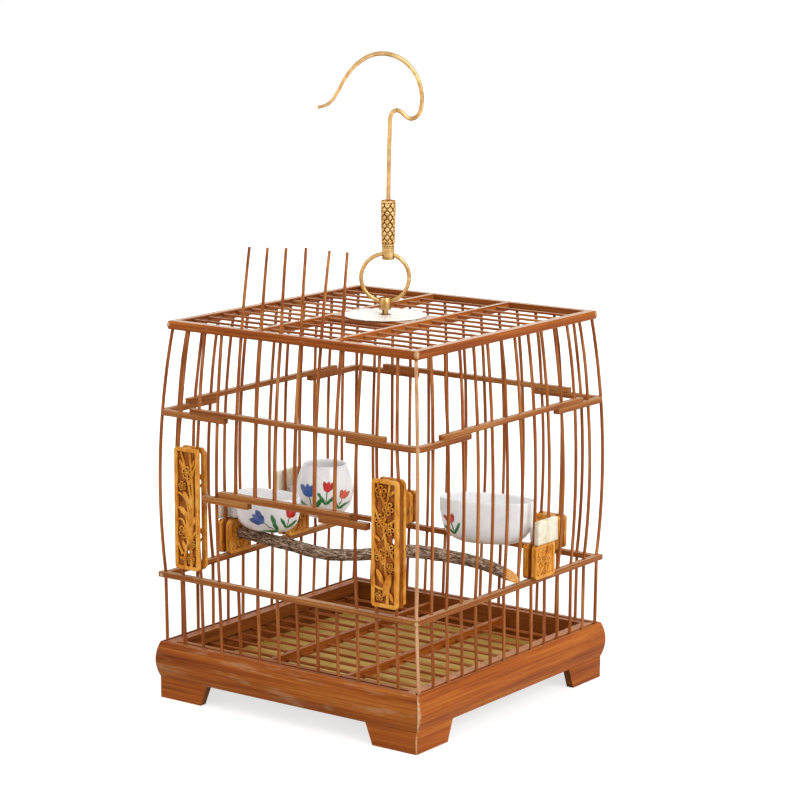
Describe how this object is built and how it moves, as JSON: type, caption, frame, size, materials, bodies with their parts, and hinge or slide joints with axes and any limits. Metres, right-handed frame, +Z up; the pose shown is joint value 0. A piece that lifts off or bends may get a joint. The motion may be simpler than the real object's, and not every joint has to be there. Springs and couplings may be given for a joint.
{
  "type": "bird cage",
  "caption": "Small square songbird cage of split bamboo with bowed sides, sliding front door, pull-out tray, branch perch, porcelain cups and a swivelling brass hook on a ring.",
  "frame": {"origin": "on the surface that the feet stand on, in the middle of the base", "axes": "+Z up towards the hook, -Y towards the front with the sliding door, +X to the right of the front"},
  "size_m": [0.2566, 0.26, 0.4978],
  "materials": {
    "bamboo_rod": "lacquered split bamboo, reddish brown",
    "corner_rod": "lacquered split bamboo, paler",
    "hoop": "lacquered bamboo strip",
    "frame": "lacquered bamboo board",
    "tray_wood": "plain yellowish board",
    "carved_wood": "carved and varnished boxwood",
    "rosette": "white shell-like disc",
    "bark": "rough natural branch",
    "porcelain": "glazed porcelain",
    "cream_lug": "cream clip outside the wall",
    "brass": "satin brass"
  },
  "bodies": {
    "cage": {"base_rail_back": "frame", "base_rail_left": "frame", "base_rail_right": "frame", "base_strip_front": "frame", "clip_left_back": "carved_wood", "clip_left_front": "carved_wood", "clip_right": "carved_wood", "clips_back": "carved_wood", "door_guide_rods": "bamboo_rod", "floor_bars": "frame", "floor_rods": "bamboo_rod", "foot_back_left": "frame", "foot_back_right": "frame", "foot_front_left": "frame", "foot_front_right": "frame", "lower_hoop_back": "hoop", "lower_hoop_front": "hoop", "lower_hoop_left": "hoop", "lower_hoop_right": "hoop", "panel_left_inner": "carved_wood", "panel_left_outer": "carved_wood", "panel_right_inner": "carved_wood", "panel_right_outer": "carved_wood", "perch": "bark", "rods_back": "bamboo_rod", "rods_corner": "corner_rod", "rods_front": "bamboo_rod", "rods_left": "bamboo_rod", "rods_right": "bamboo_rod", "rosette_disc": "rosette", "top_bars": "frame", "top_board": "frame", "top_rail_back": "frame", "top_rail_front": "frame", "top_rail_left": "frame", "top_rail_right": "frame", "top_rods": "bamboo_rod", "tray_runners": "frame", "upper_hoop_back": "hoop", "upper_hoop_corners": "hoop", "upper_hoop_front": "hoop", "upper_hoop_left": "hoop", "upper_hoop_right": "hoop"},
    "tray": {"tray_front": "frame", "tray_board": "tray_wood"},
    "door": {"door_rods": "bamboo_rod", "door_bar": "hoop", "door_end_left": "hoop", "door_end_right": "hoop"},
    "cup_round": {"round_cup": "porcelain", "round_cup_lug": "cream_lug"},
    "cup_long": {"long_cup": "porcelain", "long_cup_lug": "cream_lug"},
    "cup_short": {"short_cup": "porcelain", "short_cup_lug": "cream_lug"},
    "barrel": {"hanger_barrel": "brass"},
    "ring": {"hanger_ring": "brass"},
    "sleeve": {"ferrule": "brass", "hook_sleeve": "brass"},
    "hook": {"hook": "brass"}
  },
  "joints": [
    {"name": "tray_slide", "type": "slide", "parent": "cage", "child": "tray", "axis": [0, -1, 0], "range_m": [0, 0.2]},
    {"name": "door_slide", "type": "hinge", "parent": "cage", "child": "door", "pos_m": [0, 0.82425, 0.168], "axis": [-1, 0, 0], "range_deg": [-3.68, 3.08]},
    {"name": "round_cup_lift", "type": "slide", "parent": "cage", "child": "cup_round", "axis": [0, 0, 1], "range_m": [0, 0.03]},
    {"name": "long_cup_lift", "type": "slide", "parent": "cage", "child": "cup_long", "axis": [0, 0, 1], "range_m": [0, 0.03]},
    {"name": "short_cup_lift", "type": "slide", "parent": "cage", "child": "cup_short", "axis": [0, 0, 1], "range_m": [0, 0.03]},
    {"name": "barrel_swivel", "type": "hinge", "parent": "cage", "child": "barrel", "pos_m": [0, 0, 0.3], "axis": [0, 0, 1], "continuous": true},
    {"name": "ring_swing", "type": "hinge", "parent": "barrel", "child": "ring", "pos_m": [0, 0, 0.30774], "axis": [-0.809, -0.5878, 0], "range_deg": [-40, 40]},
    {"name": "sleeve_swing", "type": "hinge", "parent": "ring", "child": "sleeve", "pos_m": [0, 0, 0.34408], "axis": [-0.809, -0.5878, 0], "range_deg": [-40, 40]},
    {"name": "hook_swivel", "type": "hinge", "parent": "sleeve", "child": "hook", "pos_m": [0.00178, 0.00129, 0.38], "axis": [0, 0, 1], "continuous": true}
  ]
}
